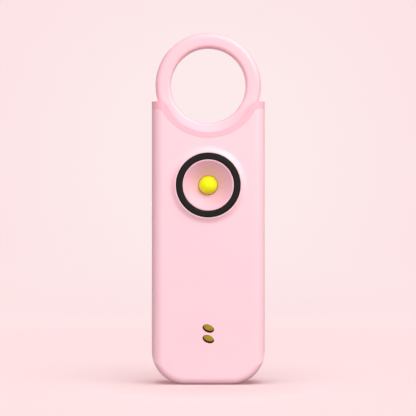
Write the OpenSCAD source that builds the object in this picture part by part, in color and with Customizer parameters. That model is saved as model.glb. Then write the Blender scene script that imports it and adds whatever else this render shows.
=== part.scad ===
// Personal safety alarm: a flat case with a pull ring in its top, a strobe light on its front
// and two slanted sound ports over a piezo siren. Pulling the ring out frees a switch leaf.
// The alarm stands on its base at z = 0, faces -Y, and its length runs along +Z.

/* [Case] */
// Thickness of the case walls
wall = 1.6; // [1.4:0.1:2]
// Radius of the two rounded bottom corners, seen from the front
corner_r = 9; // [7:0.5:10]
// Radius of the rounding along the front and rear edges, down both sides
edge_r = 3.2; // [2.6:0.1:3.6]
// Radius of the rounding along the front and rear edges, around the foot
foot_edge_r = 2; // [1.6:0.1:2.4]
// Width and depth of the shadow groove where the two shells meet
seam_groove = 0.22; // [0.1:0.02:0.4]
// Height of the locating tongue that the rear shell pushes into the front shell
tongue_h = 1.0; // [0.6:0.1:1.4]
// Play between pieces that are assembled together
fit_gap = 0.1; // [0.05:0.01:0.15]

/* [Pull ring] */
// Outer radius of the ring
ring_outer_r = 14.1; // [13.5:0.1:16]
// Radius of the finger hole in the ring
ring_hole_r = 10; // [9:0.5:11]
// Thickness of the ring from front to back
ring_t = 5; // [4.4:0.1:5.4]
// Rounding of the ring's outer edges
ring_outer_edge = 1.6; // [1:0.1:2]
// Rounding of the ring's inner edges
ring_inner_edge = 1; // [0.6:0.1:1.4]
// Height of the ring's centre above the case's shoulders
ring_rise = 4.5; // [3:0.5:5]
// Running clearance around the ring in its slot
ring_clear = 0.3; // [0.2:0.05:0.5]
// Case material left beside the ring's slot
shoulder_w = 0.6; // [0.5:0.1:2]
// Width of the stem below the ring
stem_w = 7; // [6:0.5:8]
// Thickness of the stem
stem_t = 3; // [2.6:0.1:3.4]
// Length of the stem from the ring down to its tongue
stem_len = 5; // [4.4:0.2:6]
// Running clearance around the stem in its socket
stem_clear = 0.1; // [0.05:0.05:0.2]
// Length of the thin tongue that parts the switch contacts
blade_len = 4; // [3.6:0.2:5]
// Width of the tongue
blade_w = 5; // [4:0.5:5.5]
// Thickness of the tongue
blade_t = 1; // [0.8:0.1:1.2]

/* [Cradle] */
// Width of the lip that covers the ring's lower edge, from the ring's rim inwards
lip_cover = 1.4; // [1.2:0.05:2]
// Width of the rim that shows around the notch
rim_w = 1.4; // [1:0.1:2]
// Height of the rim along the shoulders
shoulder_h = 1.8; // [1.4:0.1:2.2]
// Rounding of the corners between the shoulders and the notch
notch_corner = 1.5; // [1:0.1:2]
// Gap between the rim and the shells
rim_gap = 0.04; // [0.02:0.01:0.1]
// Thickness of the cradle's floor under the ring
cradle_floor = 1.3; // [1:0.1:1.6]
// Wall of the socket around the stem
socket_wall = 1.1; // [0.9:0.1:1.4]
// Thickness of the rubber seal under the socket
seal_t = 1; // [0.8:0.1:1.2]

/* [Strobe light] */
// Radius of the lamp's dome
led_r = 2.5; // [2.4:0.05:2.6]
// Length of the lamp from its dome's tip to its flange's underside
led_len = 8.6; // [8:0.1:8.8]
// Radius of the lamp's flange
led_flange_r = 2.9; // [2.8:0.05:3.1]
// Thickness of the lamp's flange
led_flange_t = 1; // [0.8:0.1:1.2]
// Spacing of the lamp's two leads
lead_pitch = 2.54; // [2.4:0.02:2.6]
// Thickness of the lamp's square leads
lead_t = 0.5; // [0.4:0.05:0.6]
// Inner radius of the black trim ring
trim_inner_r = 6.8; // [6.5:0.1:7.2]
// Radial width of the black trim ring
trim_w = 1.75; // [1.4:0.05:1.8]
// Depth of the black trim ring
trim_t = 1.2; // [1:0.1:1.4]
// Height of the raised collar that holds the trim ring
collar_h = 0.8; // [0.6:0.1:1.2]
// Width of the collar's crest outside the trim ring
collar_crest = 0.25; // [0.2:0.05:0.5]
// Width of the collar's slope down to the case
collar_slope = 1.7; // [1.5:0.1:2.2]
// Width of the reflector's bright rim
reflector_rim = 0.3; // [0.25:0.05:0.5]
// Thickness of the reflector's cone
reflector_wall = 0.8; // [0.6:0.1:1]
// Depth of the reflector's cone
reflector_depth = 3.9; // [3.4:0.1:4.2]
// Thickness of the flange that holds the reflector behind the wall
reflector_flange_t = 0.8; // [0.6:0.1:1]
// Width of that flange outside the light hole
reflector_flange_w = 1.1; // [1:0.1:1.6]

/* [Siren] */
// Height of the siren's centre above the base
siren_z = 13.5; // [13:0.1:14]
// Long radius of a port's brass screen
screen_long_r = 1.36; // [1.2:0.01:1.6]
// Short radius of a port's brass screen
screen_short_r = 0.8; // [0.7:0.01:0.9]
// Thickness of a port's brass screen
screen_t = 0.4; // [0.3:0.05:0.5]
// How far a port is larger than its screen, all round
port_margin = 0.24; // [0.2:0.01:0.28]
// How far the screens sit above the middle of their ports
port_shift = 0.18; // [0:0.01:0.18]
// Slant of the sound ports, in degrees
port_slant = 23; // [20:1:35]
// Spacing of the two sound ports
port_pitch = 2.8; // [2.7:0.1:3.2]
// Wall left in front of the port gasket
port_skin = 0.6; // [0.55:0.05:0.8]
// Margin of the port gasket around its openings
gasket_margin = 1.2; // [0.9:0.1:1.5]
// Width of the gasket's shelf behind each screen
gasket_shelf = 0.35; // [0.3:0.05:0.45]
// Radius of the brass diaphragm
diaphragm_r = 9; // [8.6:0.1:9.2]
// Thickness of the brass diaphragm
diaphragm_t = 0.25; // [0.2:0.01:0.3]
// Free depth between the wall and the diaphragm
chamber = 0.5; // [0.4:0.05:0.7]
// Radius of the ceramic disc
ceramic_r = 6.5; // [6:0.1:7]
// Thickness of the ceramic disc
ceramic_t = 0.25; // [0.2:0.01:0.3]
// Wall of the siren's cup
cup_wall = 0.7; // [0.6:0.05:0.9]
// Depth of the siren's cup behind the diaphragm
cup_depth = 2.2; // [1.8:0.1:2.6]
// Radius of the siren's insulated leads
wire_r = 0.4; // [0.35:0.05:0.45]
// Bend radius of the siren's leads, at their centre
wire_bend = 1.2; // [1:0.1:1.3]
// Spacing of the siren's two leads
wire_pitch = 4; // [3:0.5:5]

/* [Power] */
// Radius of a coin cell
cell_r = 10; // [9.5:0.1:10.5]
// Thickness of a coin cell
cell_h = 3.2; // [3:0.1:3.4]
// Wall of the ring that holds the cells
holder_wall = 0.9; // [0.7:0.1:1.1]
// Height of that ring above the board
holder_h = 5; // [4:0.2:5.6]
// Play around the cells in their holder
cell_clear = 0.15; // [0.1:0.05:0.25]
// Space in front of the cells for the positive strap
strap_gap = 0.5; // [0.45:0.05:0.7]
// Thickness of the contact springs
contact_t = 0.25; // [0.2:0.05:0.3]
// Width of the positive strap
strap_w = 4; // [3:0.5:5]
// Space between the cells and the board for the negative contact
board_gap = 0.6; // [0.5:0.05:0.8]
// Radius of the negative contact
negative_r = 6; // [5:0.5:7]

/* [Electronics] */
// Thickness of the circuit board
board_t = 1; // [0.8:0.1:1.2]
// Height of the standoffs behind the board
standoff_h = 1.3; // [1.2:0.1:1.8]
// Play between the board and the case's sides
board_side_gap = 1.1; // [0.8:0.1:1.2]
// Radius of the step-up coil
coil_r = 2.6; // [2.2:0.1:2.8]
// Height of the step-up coil
coil_h = 4.6; // [4:0.1:5]
// Radius of the coil core's waist under the winding
coil_waist_r = 1.4; // [1.2:0.1:1.6]
// Thickness of the coil core's end rims
coil_rim = 0.8; // [0.6:0.1:1]
// Radius of the storage capacitor
cap_r = 2; // [1.8:0.1:2.2]
// Height of the storage capacitor
cap_h = 5.6; // [5:0.1:6]
// Length of the siren chip's body
chip_l = 4.9; // [4.5:0.1:5]
// Width of the siren chip's body
chip_w = 3.9; // [3.6:0.1:4]
// Thickness of the siren chip's body
chip_t = 1.4; // [1.2:0.1:1.6]
// Reach of the siren chip's legs
chip_leg_reach = 1; // [0.8:0.1:1.2]
// Length of a drive transistor's body
transistor_l = 2.9; // [2.7:0.1:3.1]
// Width of a drive transistor's body
transistor_w = 1.3; // [1.2:0.1:1.5]
// Height of a drive transistor
transistor_t = 1.1; // [0.9:0.1:1.2]
// Length of a chip resistor
resistor_l = 1.6; // [1.4:0.1:1.8]
// Width of a chip resistor
resistor_w = 0.8; // [0.7:0.1:0.9]
// Height of a chip resistor
resistor_t = 0.45; // [0.4:0.05:0.5]
// Thickness of the switch leaf
leaf_t = 0.2; // [0.15:0.05:0.25]
// Width of the switch leaf
leaf_w = 3; // [2.5:0.1:3.4]
// Clearance between the switch leaf and the tongue
leaf_clear = 0.3; // [0.25:0.05:0.4]

/* [Screws] */
// Radius of a screw's shank
screw_r = 0.8; // [0.7:0.05:0.9]
// Radius of a screw's head
screw_head_r = 1.5; // [1.3:0.05:1.6]
// Thickness of a screw's head
screw_head_t = 1; // [0.8:0.1:1.1]
// Wall of the bosses around the screws
boss_wall = 1.05; // [0.9:0.05:1.2]
// Distance of the lower bosses from the case's inner sides
low_screw_inset = 0.9; // [0.7:0.1:1]
// Height of the upper screws above the stem's tongue
high_screw_lift = 1; // [0:0.5:2]
// Thickness of the boss floor beyond a screw's tip
screw_floor = 1.6; // [1:0.1:2]

/* [Hidden] */
$fn = 64;
// Overlap that makes a cut pass clean through a face
eps = 0.01;
// How far a cutting block reaches past what it cuts
cut_past = 1;
// How far the rounding down the sides stands off the flat faces, so that the two meet along a clean line
side_lap = 0.02;
// Least rounding of a form that is drawn in
least_edge = 0.3;

// Stack from front to back: wall, strap, two cells, negative contact, board, standoff, wall
body_t = 2*wall + strap_gap + 2*cell_h + board_gap + board_t + standoff_h;
half_t = body_t/2;
inner_t = half_t - wall;
front_in = -inner_t;
rear_in = inner_t;
board_front = rear_in - standoff_h - board_t;
board_rear = rear_in - standoff_h;
cells_front = front_in + strap_gap;

// Width follows the ring, its running clearance and the shoulders beside it
body_w = 2*(ring_outer_r + ring_clear + shoulder_w);
half_w = body_w/2;
inner_w = half_w - wall;
corner_x = half_w - corner_r;

// Stack from bottom to top: siren, cells, light, stem, ring
part_gap = 0.3;
cup_r = diaphragm_r + fit_gap + cup_wall;
holder_in_r = cell_r + cell_clear;
holder_r = holder_in_r + holder_wall;
cells_z = siren_z + cup_r + part_gap + holder_r;
light_hole_r = trim_inner_r + fit_gap;
light_gap = 0.24;
light_z = cells_z + holder_r + light_gap + light_hole_r;
stem_gap = 0.66;
blade_tip_z = light_z + led_flange_r + stem_gap;
stem_end_z = blade_tip_z + blade_len;
ring_z = stem_end_z + stem_len + ring_outer_r;
body_h = ring_z - ring_rise;

// Cradle radii around the ring's axis
lip_r = ring_outer_r - lip_cover;
rim_r = lip_r + rim_w;
slot_r = ring_outer_r + ring_clear;
cradle_r = slot_r + cradle_floor;
slot_half_t = ring_t/2 + ring_clear/2;
rim_z = body_h - shoulder_h;
socket_end_z = stem_end_z + part_gap + seal_t;

// Light stack around the light's axis
trim_outer_r = trim_inner_r + trim_w;
collar_r = trim_outer_r + fit_gap/2 + collar_crest;
collar_face = -half_t - collar_h;
collar_steps = 12;
trim_seat = collar_face + trim_t;
reflector_r = trim_inner_r - fit_gap/2;
cone_mouth_r = reflector_r - reflector_rim;
cone_throat_r = led_r + fit_gap;
cone_throat_y = collar_face + reflector_depth;
reflector_flange_r = light_hole_r + reflector_flange_w;
led_tip = board_front - led_len;

// Siren stack behind the front wall
gasket_front = -half_t + port_skin;
gasket_back = front_in + part_gap/2;
gasket_w = 2*(screen_long_r + gasket_margin);
gasket_h = port_pitch + 2*(screen_short_r + gasket_margin);
diaphragm_y = front_in + chamber;
ceramic_y = diaphragm_y + diaphragm_t;
cup_ledge = 0.6;
cup_back = ceramic_y + cup_depth;
wire_hole_r = wire_r + fit_gap;
wire_top_z = cells_z - holder_r - part_gap - wire_r;

// Screw places: two beside the siren, two above the light
boss_r = screw_r + fit_gap/2 + boss_wall;
low_screw_x = inner_w - boss_r - low_screw_inset;
low_screw_reach = cup_r + boss_r + part_gap;
low_screw_z = siren_z - sqrt(max(0, pow(low_screw_reach, 2) - pow(low_screw_x, 2)));
high_screw_x = inner_w - boss_r - fit_gap;
high_screw_z = stem_end_z + high_screw_lift;
screw_places = [for (side = [-1, 1]) each [[side*low_screw_x, low_screw_z], [side*high_screw_x, high_screw_z]]];
head_sink = 3*fit_gap;
head_depth = screw_head_t + head_sink;
screw_tip = front_in + screw_floor;

// Board outline and its pegs
board_w = 2*(inner_w - board_side_gap);
board_low_z = wire_top_z - wire_r - 2*part_gap;
board_high_z = socket_end_z - fit_gap;
peg_r = 0.7;
standoff_r = 1.5;
peg_x = board_w/2 - standoff_r - part_gap;
low_peg_z = board_low_z + 2*standoff_r;
high_peg_z = light_z - light_hole_r;
peg_places = [for (side = [-1, 1]) each [[side*peg_x, low_peg_z], [side*peg_x, high_peg_z]]];

// Switch between the lamp and the socket
leaf_y = blade_t/2 + leaf_clear;
leaf_low_z = blade_tip_z + part_gap;
leaf_high_z = stem_end_z - part_gap;
leaf_foot_h = 1.6;
bracket_in_w = blade_w/2 + leaf_clear;
bracket_low_z = leaf_low_z + leaf_t + fit_gap;

// Places of the parts on the board, seen from the front
coil_place = [coil_r + part_gap - board_w/2, light_z];
cap_place = [board_w/2 - cap_r - part_gap, light_z];
chip_place = [bracket_in_w + chip_w/2 + chip_leg_reach + part_gap, light_z + coil_r + chip_l/2 + part_gap];
transistor_x = -stem_w/2 - socket_wall - part_gap - transistor_l/2;
transistor_pitch = 3.2;
transistor_places = [for (i = [0, 1]) [transistor_x, light_z + coil_r + transistor_l/2 + i*transistor_pitch]];
resistor_pitch = 2.4;
resistor_places = [for (i = [-1.5:1.5]) [i*resistor_pitch, light_z - led_flange_r - resistor_w - part_gap]];

// Sound-port outline, seen from the front: an ellipse whose right end dips
module port_outline(grow=0) {
    short_r = screen_short_r + grow;
    rotate(-port_slant) scale([(screen_long_r + grow)/short_r, 1]) circle(short_r);
}

// A flat shape drawn in X and Z, given thickness from y0 back to y1
module slab(y0, y1) {
    translate([0, y1, 0]) rotate([90, 0, 0]) linear_extrude(y1 - y0) children();
}

// A profile of radius and y, turned about an axis along Y at the given place
module turned(x, z) {
    translate([x, 0, z]) rotate([-90, 0, 0]) rotate_extrude() children();
}

// A round bar along Y
module bar(place, r, y0, y1) {
    translate([place[0], y0, place[1]]) rotate([-90, 0, 0]) cylinder(r=r, h=y1 - y0);
}

// A box given by its centre in X and Z, its size there, and its span in Y
module block(place, size, y0, y1) {
    translate([place[0] - size[0]/2, y0, place[1] - size[1]/2]) cube([size[0], y1 - y0, size[1]]);
}

// A rectangle with rounded corners, centred
module rounded_rect(w, h, r) {
    square([w, h - 2*r], center=true);
    square([w - 2*r, h], center=true);
    for (sx = [-1, 1], sy = [-1, 1]) translate([sx*(w/2 - r), sy*(h/2 - r)]) circle(r);
}

// A strip from x = 0 outwards, rounded along its far end
module rounded_strip(length, h, r) {
    translate([0, -h/2]) square([length - r, h]);
    translate([0, -h/2 + r]) square([length, h - 2*r]);
    for (side = [-1, 1]) translate([length - r, side*(h/2 - r)]) circle(r);
}

// The case's outer form, drawn in by d on every side but the top.
// Its edges are rounded as around the foot, and then down both sides by the larger radius.
module case_form(d=0) {
    r = corner_r - d;
    w = body_w - 2*d;
    t = body_t - 2*d;
    e = max(least_edge, foot_edge_r - d);
    intersection() {
        union() {
            translate([0, 0, corner_r]) linear_extrude(body_h - corner_r) rounded_rect(w, t, e);
            translate([-corner_x, 0, corner_r]) rotate([0, 90, 0]) linear_extrude(2*corner_x) rounded_strip(r, t, e);
            for (side = [0, 1]) translate([corner_x*(1 - 2*side), 0, corner_r]) rotate([-90, 0, 0])
                rotate([0, 0, 90*side]) rotate_extrude(angle=90) rounded_strip(r, t, e);
        }
        translate([0, 0, -cut_past]) linear_extrude(body_h + 2*cut_past)
            rounded_rect(w + 2*side_lap, t + 2*side_lap, edge_r - d);
    }
}

// What rounds off the corner between a level edge and a hollow of radius r around the ring's axis.
// The rounding laps a hair over the hollow, so that the two meet along a clean line.
module corner_round(r, z, corner) {
    lap = corner/60;
    drop = ring_z - z + corner;
    reach = sqrt(max(0, pow(r + corner - lap, 2) - pow(drop, 2)));
    touch = r/(r + corner);
    for (side = [-1, 1]) difference() {
        slab(-body_t, body_t) polygon([
            [side*reach, z - corner], [side*reach, z + eps],
            [side*reach*touch, z + eps], [side*reach*touch, ring_z - drop*touch]
        ]);
        bar([side*reach, z - corner], corner, -2*body_t, 2*body_t);
    }
}

// Everything above the shells' top edge: the shoulders and the hollow for the ring
module top_region(grow=0) {
    block([0, rim_z - grow + body_h/2], [body_w + 2*cut_past, body_h], -body_t, body_t);
    bar([0, ring_z], rim_r + grow, -body_t, body_t);
    corner_round(rim_r + grow, rim_z - grow, notch_corner - grow);
}

// The half of space in front of the given y
module front_half(y) {
    block([0, body_h/2], [2*body_w, 2*body_h], -2*body_t, y);
}

// The shadow groove along the meeting line of the shells
module seam_cut() {
    difference() {
        block([0, body_h/2], [body_w + 2*cut_past, body_h + 2*cut_past], -seam_groove/2, seam_groove/2);
        case_form(seam_groove);
    }
}

module front_shell() color("pink") difference() {
    union() {
        difference() {
            intersection() {
                case_form();
                front_half(0);
            }
            case_form(wall);
        }
        // Raised collar around the light, flaring out to the face
        turned(0, light_z) polygon([
            [light_hole_r, collar_face],
            for (i = [0:collar_steps]) [
                collar_r + collar_slope*i/collar_steps,
                -half_t - collar_h*pow(1 - i/collar_steps, 2)
            ],
            [collar_r + collar_slope, -half_t + wall/2], [light_hole_r, -half_t + wall/2]
        ]);
        // Bosses that take the case screws
        for (p = screw_places) bar(p, boss_r, front_in - eps, -fit_gap/2);
        // Rib that the siren's cup stands in
        turned(0, siren_z) translate([cup_r + fit_gap, front_in - eps]) square([cup_wall, cup_wall]);
    }
    top_region(rim_gap/2);
    seam_cut();
    // Rebate for the rear shell's tongue
    difference() {
        case_form(wall/2 - fit_gap/2);
        front_half(-tongue_h - fit_gap);
    }
    bar([0, light_z], light_hole_r, -body_t, 0);
    bar([0, light_z], trim_outer_r + fit_gap/2, -body_t, trim_seat);
    for (p = screw_places) bar(p, screw_r + fit_gap/2, screw_tip - fit_gap, eps);
    for (s = [-1, 1]) translate([0, 0, siren_z + s*port_pitch/2]) slab(-body_t, 0) port_outline(port_margin);
    block([0, siren_z], [gasket_w + fit_gap, gasket_h + fit_gap], gasket_front, 0);
}

module rear_shell() color("pink") difference() {
    union() {
        difference() {
            case_form();
            front_half(0);
            case_form(wall);
        }
        // Tongue that locates the front shell
        difference() {
            intersection() {
                case_form(wall/2 + fit_gap/2);
                block([0, body_h/2], [body_w, body_h], -tongue_h, wall);
            }
            case_form(wall);
        }
        for (p = screw_places) bar(p, boss_r, fit_gap/2, rear_in + eps);
        // Standoffs and pegs that carry the board
        for (p = peg_places) {
            bar(p, standoff_r, board_rear, rear_in + eps);
            bar(p, peg_r, board_front - part_gap, board_rear + eps);
        }
    }
    top_region(rim_gap/2);
    seam_cut();
    for (p = screw_places) {
        bar(p, screw_r + fit_gap/2, -eps, body_t);
        bar(p, screw_head_r + fit_gap, half_t - head_depth, body_t);
    }
}

// Deeper pink insert at the top: the rim that shows, the ring's slot and the stem's socket
module ring_cradle() color("hotpink") difference() {
    union() {
        intersection() {
            case_form();
            top_region(-rim_gap/2);
        }
        // Flange and floor that the shells close around
        intersection() {
            case_form(wall + fit_gap);
            bar([0, ring_z], cradle_r, -inner_t, inner_t);
        }
        block([0, socket_end_z + cradle_r/4], [stem_w + 2*stem_clear + 2*socket_wall, cradle_r/2],
            -stem_t/2 - stem_clear - socket_wall, stem_t/2 + stem_clear + socket_wall);
    }
    bar([0, ring_z], lip_r, -body_t, body_t);
    bar([0, ring_z], slot_r, -slot_half_t, slot_half_t);
    block([0, ring_z - ring_outer_r - stem_len/2], [stem_w + 2*stem_clear, stem_len*2],
        -stem_t/2 - stem_clear, stem_t/2 + stem_clear);
    corner_round(lip_r, body_h, notch_corner);
}

// Ring, stem and tongue in one moulding
module pull_ring() color("lightpink") {
    turned(0, ring_z) {
        w = ring_outer_r - ring_hole_r;
        translate([ring_hole_r + ring_inner_edge, -ring_t/2])
            square([w - ring_inner_edge - ring_outer_edge, ring_t]);
        translate([ring_hole_r, -ring_t/2 + ring_inner_edge]) square([w/2, ring_t - 2*ring_inner_edge]);
        translate([ring_hole_r + w/2, -ring_t/2 + ring_outer_edge]) square([w/2, ring_t - 2*ring_outer_edge]);
        for (side = [-1, 1]) {
            translate([ring_hole_r + ring_inner_edge, side*(ring_t/2 - ring_inner_edge)]) circle(ring_inner_edge);
            translate([ring_outer_r - ring_outer_edge, side*(ring_t/2 - ring_outer_edge)]) circle(ring_outer_edge);
        }
    }
    root = (ring_outer_r - ring_hole_r)/2;
    block([0, stem_end_z + (stem_len + root)/2], [stem_w, stem_len + root], -stem_t/2, stem_t/2);
    block([0, blade_tip_z + (blade_len + eps)/2], [blade_w, blade_len + eps], -blade_t/2, blade_t/2);
}

// Rubber washer under the socket, around the stem
module stem_seal() color("dimgray") difference() {
    block([0, socket_end_z - seal_t/2], [stem_w + 2*socket_wall, seal_t], -stem_t/2 - socket_wall, stem_t/2 + socket_wall);
    block([0, socket_end_z - seal_t/2], [stem_w + 2*stem_clear, 2*seal_t], -stem_t/2 - stem_clear, stem_t/2 + stem_clear);
}

// Black ring set into the collar, with a slightly crowned face
module trim_ring() color("#222222") turned(0, light_z) {
    crown = trim_w/4;
    translate([trim_inner_r, collar_face + crown]) square([trim_w, trim_t - crown]);
    translate([trim_inner_r + crown, collar_face]) square([trim_w - 2*crown, trim_t]);
    for (r = [trim_inner_r + crown, trim_outer_r - crown]) translate([r, collar_face + crown]) circle(crown);
}

// Conical reflector, put in from behind the wall
module reflector() color("lightpink") turned(0, light_z) polygon([
    [cone_mouth_r, collar_face + fit_gap], [reflector_r, collar_face + fit_gap],
    [reflector_r, front_in], [reflector_flange_r, front_in], [reflector_flange_r, front_in + reflector_flange_t],
    [cone_throat_r + reflector_wall + 1, front_in + reflector_flange_t],
    [cone_throat_r + reflector_wall, cone_throat_y], [cone_throat_r, cone_throat_y]
]);

// Round-topped lamp: dome, barrel and flange
module strobe_led() color("yellow") {
    turned(0, light_z) {
        intersection() {
            translate([0, led_tip + led_r]) circle(led_r);
            translate([0, led_tip]) square([led_r, led_r]);
        }
        translate([0, led_tip + led_r]) square([led_r, led_len - led_r]);
        translate([0, board_front - led_flange_t]) square([led_flange_r, led_flange_t]);
    }
}

module led_leads() color("silver") for (side = [-1, 1])
    block([side*lead_pitch/2, light_z], [lead_t, lead_t], board_front, board_rear + standoff_h/2);

// Black rubber pad behind the ports, with an opening for each
module port_gasket() color("#222222") difference() {
    block([0, siren_z], [gasket_w, gasket_h], gasket_front, gasket_back);
    for (s = [-1, 1]) translate([0, 0, siren_z + s*port_pitch/2 + port_shift])
        slab(-body_t, 0) port_outline(-gasket_shelf);
}

// Brass screens that close the two sound ports, standing on the gasket
module port_screens() color("gold") for (s = [-1, 1]) translate([0, 0, siren_z + s*port_pitch/2 + port_shift])
    slab(gasket_front - screen_t, gasket_front) port_outline();

module siren_diaphragm() color("goldenrod") bar([0, siren_z], diaphragm_r, diaphragm_y, diaphragm_y + diaphragm_t);

module siren_ceramic() color("whitesmoke") bar([0, siren_z], ceramic_r, ceramic_y, ceramic_y + ceramic_t);

// Cup behind the diaphragm: the wall reaches the case, a ledge carries the diaphragm's edge
module siren_cup() color("#333333") difference() {
    bar([0, siren_z], cup_r, front_in, cup_back + cup_wall);
    bar([0, siren_z], diaphragm_r + fit_gap, front_in - eps, ceramic_y);
    bar([0, siren_z], diaphragm_r - cup_ledge, front_in - eps, cup_back);
    for (side = [-1, 1]) bar([side*wire_pitch/2, siren_z], wire_hole_r, ceramic_y, cup_back + 2*cup_wall);
}

// Insulated lead: back out of the cup, up behind it, and back into the board.
// The straight runs end just inside the bends and are a hair thinner, so that they join cleanly.
module siren_lead(x) {
    knee_y = cup_back + cup_wall + part_gap;
    run_y = knee_y + wire_bend;
    join = wire_r/8;
    run_r = wire_r - eps;
    translate([x, 0, 0]) {
        bar([0, siren_z], run_r, ceramic_y + ceramic_t, knee_y + join);
        translate([0, knee_y, siren_z + wire_bend]) rotate([0, 90, 0]) wire_elbow();
        translate([0, run_y, siren_z + wire_bend - join])
            cylinder(r=run_r, h=wire_top_z - siren_z - 2*wire_bend + 2*join);
        translate([0, run_y + wire_bend, wire_top_z - wire_bend]) rotate([0, 90, 0]) rotate([0, 0, 180]) wire_elbow();
        bar([0, wire_top_z], run_r, run_y + wire_bend - join, board_front);
    }
}

module wire_elbow() {
    rotate_extrude(angle=90) translate([wire_bend, 0]) circle(wire_r);
}

module siren_lead_red() color("red") siren_lead(-wire_pitch/2);

module siren_lead_black() color("black") siren_lead(wire_pitch/2);

module circuit_board() color("seagreen") difference() {
    block([0, (board_low_z + board_high_z)/2], [board_w, board_high_z - board_low_z], board_front, board_rear);
    for (p = screw_places) bar(p, boss_r + part_gap, 0, body_t);
    for (p = peg_places) bar(p, peg_r + fit_gap/2, 0, body_t);
    for (side = [-1, 1]) block([side*lead_pitch/2, light_z], [lead_t + fit_gap, lead_t + fit_gap], 0, body_t);
}

// Eight-legged chip that makes the siren's tone
module siren_chip() color("#2b2b2b") {
    leg_t = 0.2;
    leg_w = 0.4;
    leg_pitch = chip_l/3.85;
    block(chip_place, [chip_w, chip_l], board_front - leg_t - chip_t, board_front - leg_t);
    for (side = [-1, 1], i = [-1.5:1.5])
        block([chip_place[0] + side*(chip_w/2 + chip_leg_reach/2 - eps), chip_place[1] + i*leg_pitch],
            [chip_leg_reach, leg_w], board_front - 2*leg_t, board_front);
}

// Drum core of the step-up coil, with its waist for the winding
module coil_core() color("#444444") turned(coil_place[0], coil_place[1]) {
    translate([0, board_front - coil_h]) square([coil_waist_r, coil_h]);
    for (y = [board_front - coil_h, board_front - coil_rim]) translate([0, y]) square([coil_r, coil_rim]);
}

module coil_winding() color("chocolate") turned(coil_place[0], coil_place[1])
    translate([coil_waist_r, board_front - coil_h + coil_rim])
        square([coil_r - coil_waist_r - part_gap, coil_h - 2*coil_rim]);

// Radial capacitor with a crimped waist near its foot
module storage_capacitor() color("steelblue") turned(cap_place[0], cap_place[1]) {
    groove = 0.2;
    foot_h = 1.1;
    translate([0, board_front - cap_h]) square([cap_r, cap_h - foot_h - groove]);
    translate([0, board_front - cap_h]) square([cap_r - groove, cap_h]);
    translate([0, board_front - foot_h]) square([cap_r, foot_h]);
}

module drive_transistors() color("#2b2b2b") for (p = transistor_places) {
    leg_t = 0.15;
    leg_w = 0.4;
    leg_reach = 0.6;
    block(p, [transistor_l, transistor_w], board_front - transistor_t, board_front - leg_t);
    for (leg = [[-1, -1], [1, -1], [0, 1]])
        block([p[0] + leg[0]*transistor_l/3, p[1] + leg[1]*(transistor_w/2 + leg_reach/2 - eps)],
            [leg_w, leg_reach], board_front - 2*leg_t, board_front);
}

module chip_resistors() color("#555555") for (p = resistor_places)
    block(p, [resistor_l, resistor_w], board_front - resistor_t, board_front);

// Spring leaf beside the tongue: it bends about its lower end, just above its foot
module switch_leaf() color("gold") {
    root_z = leaf_low_z + leaf_t + fit_gap;
    block([0, (root_z + leaf_high_z)/2], [leaf_w, leaf_high_z - root_z], leaf_y, leaf_y + leaf_t);
}

// Foot that fixes the spring leaf to the board
module leaf_foot() color("gold") {
    block([0, leaf_low_z + leaf_t/2], [leaf_w, leaf_t], leaf_y, board_front);
    block([0, leaf_low_z + leaf_foot_h/2], [leaf_w, leaf_foot_h], board_front - leaf_t, board_front);
}

// Bridge in front of the tongue that the leaf closes against
module fixed_contact() color("gold") {
    h = leaf_high_z - bracket_low_z;
    z = (leaf_high_z + bracket_low_z)/2;
    block([0, z], [2*(bracket_in_w + leaf_t), h], -leaf_y - leaf_t, -leaf_y);
    for (side = [-1, 1]) block([side*(bracket_in_w + leaf_t/2), z], [leaf_t, h], -leaf_y - leaf_t, board_front);
}

// Ring around the cells, standing on the board
module cell_holder() color("#333333") turned(0, cells_z)
    translate([holder_in_r, board_front - holder_h]) square([holder_wall, holder_h]);

// A coin cell: the can, and the smaller cap that shows on its negative side
module coin_cell(y) color("silver") turned(0, cells_z) {
    cap_step = 0.3;
    cap_inset = 1.4;
    edge = 0.4;
    translate([0, y]) square([cell_r - edge, cell_h - cap_step]);
    translate([0, y + edge]) square([cell_r, cell_h - cap_step - 2*edge]);
    for (v = [y + edge, y + cell_h - cap_step - edge]) translate([cell_r - edge, v]) circle(edge);
    translate([0, y]) square([cell_r - cap_inset, cell_h]);
}

module front_coin_cell() coin_cell(cells_front);

module rear_coin_cell() coin_cell(cells_front + cell_h);

// Spring strip from the cells' front face, round the holder, to the board
module positive_strap() color("silver") {
    reach = holder_r + fit_gap + contact_t;
    block([reach/2, cells_z], [reach, strap_w], cells_front - contact_t, cells_front);
    block([reach - contact_t/2, cells_z], [contact_t, strap_w], cells_front - contact_t, board_front);
}

// Dished spring washer between the board and the rear cell's cap
module negative_contact() color("silver") turned(0, cells_z) {
    cells_back = cells_front + 2*cell_h;
    polygon([
        [negative_r, board_front], [negative_r - contact_t, board_front],
        [negative_r/2, cells_back + contact_t], [negative_r/4, cells_back + contact_t],
        [negative_r/4, cells_back], [negative_r/2 + contact_t/2, cells_back]
    ]);
}

// Four pan-head screws with crossed slots, in from the back
module case_screws() color("gray") for (p = screw_places) difference() {
    union() {
        bar(p, screw_r, screw_tip, half_t - head_depth + eps);
        bar(p, screw_head_r, half_t - head_depth, half_t - head_sink);
    }
    slot_w = screw_r/2;
    slot_l = screw_head_r*2/3;
    for (size = [[slot_w, 2*slot_l], [2*slot_l, slot_w]]) block(p, size, half_t - head_sink - screw_head_t/2, body_t);
}

front_shell();
rear_shell();
ring_cradle();
pull_ring();
stem_seal();
trim_ring();
reflector();
strobe_led();
led_leads();
port_screens();
port_gasket();
siren_diaphragm();
siren_ceramic();
siren_cup();
siren_lead_red();
siren_lead_black();
circuit_board();
siren_chip();
coil_core();
coil_winding();
storage_capacitor();
drive_transistors();
chip_resistors();
switch_leaf();
leaf_foot();
fixed_contact();
cell_holder();
front_coin_cell();
rear_coin_cell();
positive_strap();
negative_contact();
case_screws();
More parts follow.
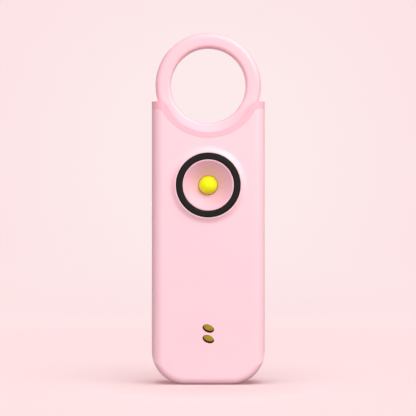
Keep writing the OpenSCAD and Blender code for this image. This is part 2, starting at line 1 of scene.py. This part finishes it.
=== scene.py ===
import math

import bmesh
import bpy
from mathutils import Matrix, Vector


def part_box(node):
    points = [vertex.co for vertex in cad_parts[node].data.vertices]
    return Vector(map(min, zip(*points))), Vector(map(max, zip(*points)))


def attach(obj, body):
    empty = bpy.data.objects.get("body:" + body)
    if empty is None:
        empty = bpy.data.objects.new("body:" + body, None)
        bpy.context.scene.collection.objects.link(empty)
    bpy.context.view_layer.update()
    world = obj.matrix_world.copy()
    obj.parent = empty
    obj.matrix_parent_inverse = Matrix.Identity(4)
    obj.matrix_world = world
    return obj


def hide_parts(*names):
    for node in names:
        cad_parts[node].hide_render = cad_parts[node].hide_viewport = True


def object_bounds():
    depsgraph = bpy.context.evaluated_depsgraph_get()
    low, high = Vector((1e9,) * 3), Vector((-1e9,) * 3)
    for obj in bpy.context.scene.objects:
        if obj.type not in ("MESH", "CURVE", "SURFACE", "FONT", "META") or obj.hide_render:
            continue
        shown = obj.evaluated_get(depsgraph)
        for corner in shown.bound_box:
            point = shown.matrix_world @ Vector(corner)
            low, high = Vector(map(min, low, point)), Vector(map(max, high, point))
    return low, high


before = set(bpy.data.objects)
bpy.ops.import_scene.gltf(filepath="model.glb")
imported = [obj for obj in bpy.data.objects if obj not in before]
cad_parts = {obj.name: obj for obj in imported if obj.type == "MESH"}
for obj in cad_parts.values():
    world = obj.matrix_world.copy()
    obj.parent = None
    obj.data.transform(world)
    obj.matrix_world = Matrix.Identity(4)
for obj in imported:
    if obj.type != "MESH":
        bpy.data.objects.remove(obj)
cad_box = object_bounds()


# Case shells
# Two halves injection-moulded in pale pink plastic with a fine satin texture from the mould.
# They meet half way through the depth in a shadow groove and are screwed together from the rear.
class Socket:
    """A shader socket. Arithmetic on it adds Math nodes, and node() adds any other node."""

    def __init__(self, tree, socket=None):
        self.tree = tree
        self.socket = socket

    def node(self, kind, settings=(), inputs=(), output=0):
        made = self.tree.nodes.new(kind)
        for key, value in dict(settings).items():
            setattr(made, key, value)
        for key, value in dict(inputs).items():
            if isinstance(value, Socket):
                self.tree.links.new(value.socket, made.inputs[key])
            else:
                made.inputs[key].default_value = value
        return Socket(self.tree, made.outputs[output])

    def math(self, operation, first, second):
        return self.node("ShaderNodeMath", {"operation": operation}, {0: first, 1: second})

    def __add__(self, other):
        return self.math("ADD", self, other)

    def __sub__(self, other):
        return self.math("SUBTRACT", self, other)

    def __rsub__(self, other):
        return self.math("SUBTRACT", other, self)

    def __mul__(self, other):
        return self.math("MULTIPLY", self, other)

    __radd__ = __add__
    __rmul__ = __mul__


class Finish:
    """A material with one shader: constants are set on its sockets, and feed() links what varies."""

    def __init__(self, name, **constants):
        self.material = bpy.data.materials.new(name)
        self.material.use_nodes = True
        tree = self.material.node_tree
        self.shader = next(n for n in tree.nodes if n.type == "BSDF_PRINCIPLED")
        self.start = Socket(tree)
        self.place = self.start.node("ShaderNodeTexCoord", output="Object")
        for socket, value in constants.items():
            self.shader.inputs[socket.replace("_", " ")].default_value = value

    def laid(self, **mapping):
        return self.start.node("ShaderNodeMapping", {}, {"Vector": self.place, **mapping})

    def noise(self, per_metre, detail=2.0, roughness=0.5, place=None):
        return self.start.node("ShaderNodeTexNoise", {}, {
            "Vector": place or self.place, "Scale": per_metre, "Detail": detail, "Roughness": roughness})

    def wave(self, direction, per_metre, place=None):
        return self.start.node("ShaderNodeTexWave", {"bands_direction": direction}, {
            "Vector": place or self.place, "Scale": per_metre})

    def between(self, factor, first, second):
        return self.start.node("ShaderNodeMix", {"data_type": "RGBA"}, {
            0: factor, 6: first, 7: second}, output=2)

    def bump(self, height, depth, strength):
        return self.start.node("ShaderNodeBump", {}, {
            "Height": height, "Distance": depth, "Strength": strength})

    def feed(self, **links):
        for socket, value in links.items():
            self.start.tree.links.new(value.socket, self.shader.inputs[socket.replace("_", " ")])


def srgb(red, green, blue):
    """A colour given as it shows on screen, 0 to 255, as the shader's linear values."""
    def linear(v):
        v /= 255.0
        return v / 12.92 if v <= 0.04045 else ((v + 0.055) / 1.055) ** 2.4
    return (linear(red), linear(green), linear(blue), 1.0)


def moulded(name, colour, roughness, texture=9000.0, depth=6e-6, **constants):
    """Moulded plastic: a faint drift in its colour, a spark-eroded texture, and a gloss that follows both."""
    palest = 1.02
    deepest = 0.965
    made = Finish(name, **constants)
    drift = made.noise(90.0, 3.0)
    grain = made.noise(texture, 2.0, 0.6)
    paler = tuple(min(1.0, c * palest) for c in colour[:3]) + (1.0,)
    deeper = tuple(c * deepest for c in colour[:3]) + (1.0,)
    made.feed(
        Base_Color=made.between(drift, deeper, paler),
        Roughness=roughness - 0.06 + 0.08 * drift + 0.06 * grain,
        Normal=made.bump(grain, depth, 0.6))
    return made.material


def dress(material, *nodes):
    """Gives CAD nodes their finish."""
    for name in nodes:
        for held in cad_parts[name].material_slots:
            held.material = material


def joined(name):
    """A node's object, with its faces joined along their shared edges and shaded smoothly."""
    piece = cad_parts[name]
    if "custom_normal" in piece.data.attributes:
        piece.data.attributes.remove(piece.data.attributes["custom_normal"])
    piece.data.shade_smooth()
    weld = piece.modifiers.new("weld", "WELD")
    weld.merge_threshold = 1e-7
    return piece


def smooth_faces(name, sharp=32.0):
    """Shades a node smoothly but for its edges that turn by more than sharp degrees."""
    piece = joined(name)
    split = piece.modifiers.new("split", "EDGE_SPLIT")
    split.split_angle = math.radians(sharp)
    level = piece.modifiers.new("level", "WEIGHTED_NORMAL")
    level.keep_sharp = True


def ease_edges(name, radius, sharp=32.0):
    """Rounds a node's edges that turn by more than sharp degrees, as a mould does."""
    piece = joined(name)
    ease = piece.modifiers.new("ease", "BEVEL")
    ease.width = radius
    ease.segments = 3
    ease.limit_method = "ANGLE"
    ease.angle_limit = math.radians(sharp)
    ease.use_clamp_overlap = False
    ease.harden_normals = True


shell_pink = moulded("shell_pink", srgb(253, 206, 216), 0.45)
dress(shell_pink, "front_shell", "rear_shell")
# The facets of the shells' roundings turn by less than this, and their creases by more
shell_crease = 13.0
smooth_faces("front_shell", shell_crease)
smooth_faces("rear_shell", shell_crease)


# Ring cradle
# One moulding in a deeper pink that the shells close around. Its rim shows along both
# shoulders and round the notch, and it holds the ring's slot and the stem's socket.
cradle_pink = moulded("cradle_pink", srgb(253, 188, 201), 0.42)
dress(cradle_pink, "ring_cradle")
smooth_faces("ring_cradle")


# Pull ring
# Ring, stem and switch tongue in one pink moulding. The rounded ring is what the hand pulls;
# the stem runs in the cradle's socket and the seal's grip keeps it in.
ring_ease = 0.00012
ring_pink = moulded("ring_pink", srgb(252, 200, 210), 0.37)
dress(ring_pink, "pull_ring")
ease_edges("pull_ring", ring_ease)


# Stem seal
# Black rubber washer under the socket that grips the stem and keeps water out.
rubber_black = moulded("rubber_black", srgb(26, 25, 24), 0.7, 5000.0, 1.2e-5, Specular_IOR_Level=0.2)
dress(rubber_black, "stem_seal")


# Strobe light
# A black trim ring is pressed into the shell's collar around a polished pink reflector cone,
# which is put in from behind. A round-topped yellow lamp on the board shows at its centre.
trim_black = moulded("trim_black", srgb(27, 27, 27), 0.45, 7000.0, 8e-6, Specular_IOR_Level=0.15)
dress(trim_black, "trim_ring")

reflector_pink = moulded("reflector_pink", srgb(239, 187, 201), 0.24, 3000.0, 2e-6)
dress(reflector_pink, "reflector")

lamp = Finish("lamp_yellow", Roughness=0.2, Specular_IOR_Level=0.3, Emission_Strength=0.05)
lamp_low, lamp_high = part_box("strobe_led")
haze = lamp.noise(700.0, 3.0)
haze_reach = 0.0006
# The lens is painted darker and more olive from its middle down to its foot: painted shade under the dome's lit
# top
upright = lamp.start.node("ShaderNodeSeparateXYZ", {}, {"Vector": lamp.place}, output="Z")
lens_painted_shade = lamp.start.node("ShaderNodeMapRange", {"interpolation_type": "SMOOTHSTEP"}, {
    "Value": upright + haze_reach * haze,
    "From Min": lamp_low.z, "From Max": (lamp_low.z + lamp_high.z) / 2})
lens = lamp.between(lens_painted_shade, srgb(188, 186, 0), srgb(234, 240, 0))
lamp.feed(Base_Color=lens, Emission_Color=lens, Normal=lamp.bump(haze, 5e-6, 0.4))
dress(lamp.material, "strobe_led")

tin = Finish("tin", Metallic=1.0)
streak = tin.noise(2500.0, 4.0)
tin.feed(Base_Color=tin.between(streak, srgb(196, 198, 200), srgb(226, 227, 228)),
         Roughness=0.22 + 0.2 * streak, Normal=tin.bump(streak, 6e-6, 0.5))
dress(tin.material, "led_leads")


# Sound ports
# Two slanted ovals of pressed brass gauze stand on a black rubber gasket behind the front wall.
# The gauze keeps dirt out of the siren, and a dark edge of the gasket shows below each one, a painted shadow
# under each oval.
oval_long = 0.00141
oval_short = 0.00077
oval_slant = math.radians(-23.0)
oval_pitch = 0.0028
oval_side = 0.00005
# The ovals stand a little high in their openings, so that the black gasket's edge shows below them only, as a
# painted shadow
painted_shadow_lift = 0.00006
oval_steps = 64
# Rings of the oval from the middle of its crown to its foot: share of its radius, and depth from its face
oval_rings = [
    (0.0, -0.00009), (0.25, -0.000086), (0.5, -0.00007), (0.72, -0.00004),
    (0.88, 0.0), (0.96, 0.00004), (1.0, 0.00011), (1.0, 0.0004)]
gauze_per_metre = 1700.0
screen_low, screen_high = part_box("port_screens")
screen_middle = (screen_low + screen_high) / 2


def placed(name, shape):
    """The drawn shape as an object in the scene, shaded smoothly."""
    mesh = bpy.data.meshes.new(name)
    shape.to_mesh(mesh)
    shape.free()
    mesh.shade_smooth()
    made = bpy.data.objects.new(name, mesh)
    bpy.context.scene.collection.objects.link(made)
    return made


def oval_screens():
    shape = bmesh.new()
    for side in (-1, 1):
        loops = []
        for share, depth in oval_rings:
            loop = []
            for i in range(oval_steps if share else 1):
                turn = 2 * math.pi * i / oval_steps
                along = share * oval_long * math.cos(turn)
                across = share * oval_short * math.sin(turn)
                loop.append(shape.verts.new((
                    oval_side + along * math.cos(oval_slant) - across * math.sin(oval_slant),
                    screen_low.y + depth,
                    screen_middle.z + painted_shadow_lift + side * oval_pitch / 2
                    + along * math.sin(oval_slant) + across * math.cos(oval_slant))))
            loops.append(loop)
        for i in range(oval_steps):
            j = (i + 1) % oval_steps
            shape.faces.new((loops[0][0], loops[1][i], loops[1][j]))
            for inner, outer in zip(loops[1:], loops[2:]):
                shape.faces.new((inner[i], outer[i], outer[j], inner[j]))
        shape.faces.new(reversed(loops[-1]))
    bmesh.ops.recalc_face_normals(shape, faces=shape.faces)
    return placed("brass_screens", shape)


brass = Finish("brass", Metallic=1.0)
tarnish = brass.noise(1800.0, 4.0, 0.65)
lie = brass.laid(Rotation=(0.0, -oval_slant, 0.0))
weave = brass.wave("X", gauze_per_metre, lie) * brass.wave("Z", gauze_per_metre, lie)
brass.feed(
    Base_Color=brass.between(tarnish, srgb(144, 134, 38), srgb(188, 174, 63)),
    Roughness=0.30 + 0.25 * tarnish,
    Normal=brass.bump(weave + 0.3 * tarnish, 1.5e-5, 0.5))
screens = oval_screens()
screens.data.materials.append(brass.material)
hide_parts("port_screens")
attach(screens, "case")

dress(rubber_black, "port_gasket")


# Siren
# A brass diaphragm with a fired ceramic disc bonded to it rings in front of a black cup.
# Two insulated leads are soldered to it and run up to the board.
disc_brass = Finish("disc_brass", Metallic=1.0)
rolled = disc_brass.noise(6000.0, 3.0, place=disc_brass.laid(Scale=(1.0, 1.0, 0.06)))
disc_brass.feed(Base_Color=disc_brass.between(rolled, srgb(190, 158, 74), srgb(216, 186, 104)),
                Roughness=0.24 + 0.18 * rolled, Normal=disc_brass.bump(rolled, 4e-6, 0.5))
dress(disc_brass.material, "siren_diaphragm")
dress(moulded("ceramic_white", srgb(222, 220, 212), 0.35, 4000.0, 4e-6), "siren_ceramic")
cup_black = moulded("cup_black", srgb(44, 44, 46), 0.5)
dress(cup_black, "siren_cup")
dress(moulded("wire_red", srgb(196, 40, 34), 0.38, 3000.0, 4e-6), "siren_lead_red")
dress(moulded("wire_black", srgb(34, 34, 36), 0.38, 3000.0, 4e-6), "siren_lead_black")


# Circuit board
# Glass-fibre board under green solder mask, with copper tracks just visible below it. It stands on
# the rear shell's pegs and carries the lamp, the switch and the parts that drive the siren.
board = Finish("board_green")
tracks = board.start.node("ShaderNodeTexBrick", {"offset": 0.5}, {
    "Vector": board.laid(Rotation=(math.pi / 2, 0.0, 0.0)),
    "Color1": (1, 1, 1, 1), "Color2": (0.7, 0.7, 0.7, 1), "Mortar": (0, 0, 0, 1),
    "Scale": 300.0, "Mortar Size": 0.06})
fibre = board.noise(4000.0)
board.feed(Base_Color=board.between(tracks, srgb(18, 84, 46), srgb(30, 112, 62)),
           Roughness=0.25 + 0.15 * fibre, Normal=board.bump(tracks + 0.2 * fibre, 2e-5, 0.6))
dress(board.material, "circuit_board")

chip_black = moulded("chip_black", srgb(40, 40, 42), 0.55, 7000.0, 1e-5)
dress(chip_black, "siren_chip", "drive_transistors", "chip_resistors")
dress(moulded("ferrite", srgb(70, 70, 74), 0.6, 5000.0, 1.5e-5), "coil_core")

copper = Finish("copper", Metallic=1.0)
turns = copper.wave("Y", 1600.0)
copper.feed(Base_Color=copper.between(turns, srgb(120, 58, 26), srgb(206, 116, 62)),
            Roughness=0.28 + 0.2 * (1.0 - turns), Normal=copper.bump(turns, 6e-5, 0.9))
dress(copper.material, "coil_winding")
dress(moulded("cap_sleeve", srgb(40, 66, 130), 0.32, 3000.0, 5e-6), "storage_capacitor")


# Switch
# A phosphor-bronze leaf rides on the ring's tongue and springs against a bridge of the same
# strip when the tongue is pulled out. Foot and bridge are soldered to the board.
bronze = Finish("spring_metal", Metallic=1.0)
rolling = bronze.noise(3500.0, 3.0)
bronze.feed(Base_Color=bronze.between(rolling, srgb(206, 172, 104), srgb(228, 200, 138)),
            Roughness=0.2 + 0.15 * rolling, Normal=bronze.bump(rolling, 4e-6, 0.5))
dress(bronze.material, "switch_leaf", "leaf_foot", "fixed_contact")


# Power
# Two lithium coin cells in brushed stainless cans stack in a black ring on the board, between
# a tinned strap over the front one and a dished spring behind the rear one.
dress(cup_black, "cell_holder")
can = Finish("cell_steel", Metallic=1.0)
brushed = can.noise(9000.0, place=can.laid(Scale=(1.0, 1.0, 0.03)))
can.feed(Base_Color=can.between(brushed, srgb(188, 189, 191), srgb(218, 219, 220)),
         Roughness=0.2 + 0.18 * brushed, Normal=can.bump(brushed, 3e-6, 0.5))
dress(can.material, "front_coin_cell", "rear_coin_cell")
dress(tin.material, "positive_strap", "negative_contact")


# Case screws
# Four zinc-plated pan-head screws with crossed slots, sunk into the rear shell.
screw_ease = 0.00006
zinc = Finish("screw_steel", Metallic=1.0)
plating = zinc.noise(2500.0, 3.0)
zinc.feed(Base_Color=zinc.between(plating, srgb(160, 162, 166), srgb(196, 198, 202)),
          Roughness=0.26 + 0.2 * plating, Normal=zinc.bump(plating, 6e-6, 0.6))
dress(zinc.material, "case_screws")
ease_edges("case_screws", screw_ease)


# Backdrop
# A seamless pale pink sweep: the floor that the alarm stands on curves up into the wall behind it.
sweep_half_width = 2.4
sweep_front = -1.6
sweep_wall = 1.3
sweep_radius = 0.15
sweep_height = 2.4
sweep_steps = 24
# The paper is palest behind the alarm, a painted pool of light. It glows by itself, but less around the foot,
# where the shadow lies, and pinker there: painted pink light from the alarm, with its lit colour paler there to
# match.
# In front of the foot it is darker, a painted contact shadow, and a slight mottle keeps the changes from being
# even
painted_pool_squash = (1.0, 0.2, 1.0)
painted_pool_middle = (0.0, 0.25, 0.10)
painted_pool_inner = 0.04
painted_pool_outer = 0.30
foot_middle = (0.0, 0.01, 0.0)
foot_inner = 0.08
foot_outer = 0.5
foot_glow = 0.34
far_glow = 1.0
painted_pink_outer = 0.3
painted_shadow_squash = (1.05, 1.0, 1.0)
painted_shadow_middle = (0.0, -0.011, 0.0)
painted_shadow_inner = 0.0
painted_shadow_outer = 0.036
painted_shadow_strength = 0.45
bounce_inner = 0.0
bounce_outer = 0.065
mottle_reach = 0.01
mottle_per_metre = 40.0


def backdrop():
    path = [(sweep_front, 0.0), (sweep_wall - sweep_radius, 0.0)]
    for i in range(1, sweep_steps + 1):
        turn = math.pi / 2 * i / sweep_steps
        path.append((sweep_wall - sweep_radius + sweep_radius * math.sin(turn),
                     sweep_radius - sweep_radius * math.cos(turn)))
    path.append((sweep_wall, sweep_height))
    shape = bmesh.new()
    rows = [[shape.verts.new((x, y, z)) for x in (-sweep_half_width, sweep_half_width)] for y, z in path]
    for low, high in zip(rows, rows[1:]):
        shape.faces.new((low[0], low[1], high[1], high[0]))
    return placed("backdrop", shape)


def looked_at(start):
    """1 for the rays that show a surface, also mirrored or through glass, and 0 for those that light others."""
    straight, mirrored, through = (start.node("ShaderNodeLightPath", output="Is %s Ray" % kind)
                                   for kind in ("Camera", "Glossy", "Transmission"))
    return start.math("MAXIMUM", straight, start.math("MAXIMUM", mirrored, through))


paper = Finish("backdrop_paper", Roughness=0.9, Specular_IOR_Level=0.1)
seen = looked_at(paper.start)


def away_from(middle, inner, outer, start, end, squash=(1.0, 1.0, 1.0), slope="SMOOTHSTEP"):
    """A value that goes from start to end with the distance from a place on the squashed paper."""
    reach = paper.start.node("ShaderNodeVectorMath", {"operation": "DISTANCE"}, {
        0: paper.laid(Scale=squash), 1: middle}, output="Value")
    return paper.start.node("ShaderNodeMapRange", {"interpolation_type": slope}, {
        "Value": reach + mottle_reach * paper.noise(mottle_per_metre),
        "From Min": inner, "From Max": outer, "To Min": start, "To Max": end})


# The paler middle of the paper is a painted pool of light
pale = paper.between(away_from(painted_pool_middle, painted_pool_inner, painted_pool_outer, 0.0, 1.0, painted_pool_squash),
                     srgb(253, 235, 236), srgb(253, 226, 228))
# The lit colour is paler near the foot, to match the painted pink light in the glow there
lit = paper.between(away_from(foot_middle, foot_inner, foot_outer, 0.0, 1.0), srgb(254, 249, 249), pale)
# Painted contact shadow: the paper's lit colour darkens towards the front of the foot
contact = away_from(painted_shadow_middle, painted_shadow_inner, painted_shadow_outer, painted_shadow_strength, 0.0, painted_shadow_squash, "LINEAR")
lit = paper.between(contact, lit, srgb(165, 140, 144))
# Painted pink light from the alarm: the paper's glow turns pinker around the foot, where the shadow lies
glow = paper.between(away_from(foot_middle, foot_inner, painted_pink_outer, 0.0, 1.0), srgb(254, 178, 184), pale)
bounce = paper.between(away_from(foot_middle, bounce_inner, bounce_outer, 0.0, 1.0),
                       srgb(140, 122, 124), srgb(106, 89, 91))
paper.feed(Base_Color=paper.between(seen, bounce, lit))
shine = paper.start.node("ShaderNodeEmission", {}, {"Color": glow, "Strength": 1.0})
surface = paper.start.node("ShaderNodeMixShader", {}, {
    0: away_from(foot_middle, foot_inner, foot_outer, foot_glow, far_glow) * seen,
    1: Socket(paper.start.tree, paper.shader.outputs[0]), 2: shine})
ending = next(n for n in paper.start.tree.nodes if n.type == "OUTPUT_MATERIAL")
paper.start.tree.links.new(surface.socket, ending.inputs["Surface"])
sweep = backdrop()
sweep.data.materials.append(paper.material)


# Light
# A broad soft light from the upper right, weaker ones from the front and the rear that the gloss doesn't
# mirror, and an even pale surround. The rear one hangs to the left, where the broad light doesn't reach.
# The paper has a lamp of its own overhead, so that the alarm's shadow lies close around its foot.
def linked(name, state):
    """A collection that tells a lamp to light only the paper, or all but the paper."""
    made = bpy.data.collections.new(name)
    made.objects.link(sweep)
    made.collection_objects[0].light_linking.link_state = state
    return made


paper_only = linked("paper_only", "INCLUDE")
not_paper = linked("not_paper", "EXCLUDE")


def hang(name, kind, place, aim, lights, mirrored=True, **settings):
    """Hangs a lamp at a place, turned to its aim, that lights only what it is linked to."""
    lamp_data = bpy.data.lights.new(name, kind)
    for setting, value in settings.items():
        setattr(lamp_data, setting, value)
    made = bpy.data.objects.new(name, lamp_data)
    made.location = place
    made.rotation_euler = (Vector(aim) - Vector(place)).to_track_quat("-Z", "Y").to_euler()
    made.visible_camera = False
    made.visible_glossy = mirrored
    made.light_linking.receiver_collection = lights
    bpy.context.scene.collection.objects.link(made)


hang("key", "AREA", (0.31, -0.31, 0.45), (0.0, 0.0, 0.045), not_paper,
     shape="DISK", size=0.6, energy=3.25, color=(1.0, 1.0, 0.95))
hang("front", "AREA", (-0.17, -1.0, 0.05), (0.0, 0.0, 0.05), not_paper, mirrored=False,
     shape="DISK", size=0.6, energy=8.6)
hang("rear", "AREA", (-0.34, 0.95, 0.25), (0.0, 0.0, 0.045), not_paper, mirrored=False,
     shape="DISK", size=0.4, energy=9.6)
hang("overhead", "SUN", (0.08, -0.36, 1.0), (0.0, 0.0, 0.0), paper_only,
     angle=math.radians(50.0), energy=2.32)

world = bpy.data.worlds.new("surround")
world.use_nodes = True
bpy.context.scene.world = world
room = Socket(world.node_tree)
dim = room.node("ShaderNodeBackground", {}, {"Color": srgb(255, 244, 245), "Strength": 0.4})
pale_room = room.node("ShaderNodeBackground", {}, {"Color": srgb(253, 228, 230), "Strength": 1.0})
surround = room.node("ShaderNodeMixShader", {}, {0: looked_at(room), 1: dim, 2: pale_room})
ending = next(n for n in world.node_tree.nodes if n.type == "OUTPUT_WORLD")
world.node_tree.links.new(surround.socket, ending.inputs["Surface"])


# Camera
# Straight in front at the height of the case's middle, far enough for only a little perspective.
# Its distance and the width of its view are taken at the shell's front face, behind the collar.
view_distance = 0.500
view_width = 0.10994
view_height = 0.04677
view_side = -0.00007
collar_height = 0.0008
front_face = cad_box[0][1] + collar_height
camera_data = bpy.data.cameras.new("camera")
camera_data.lens = camera_data.sensor_width * view_distance / view_width
camera_data.clip_start = 0.01
camera = bpy.data.objects.new("camera", camera_data)
camera.location = (view_side, front_face - view_distance, view_height)
camera.rotation_euler = (math.pi / 2, 0.0, 0.0)
bpy.context.scene.collection.objects.link(camera)
bpy.context.scene.camera = camera
bpy.context.scene.view_settings.view_transform = "Standard"
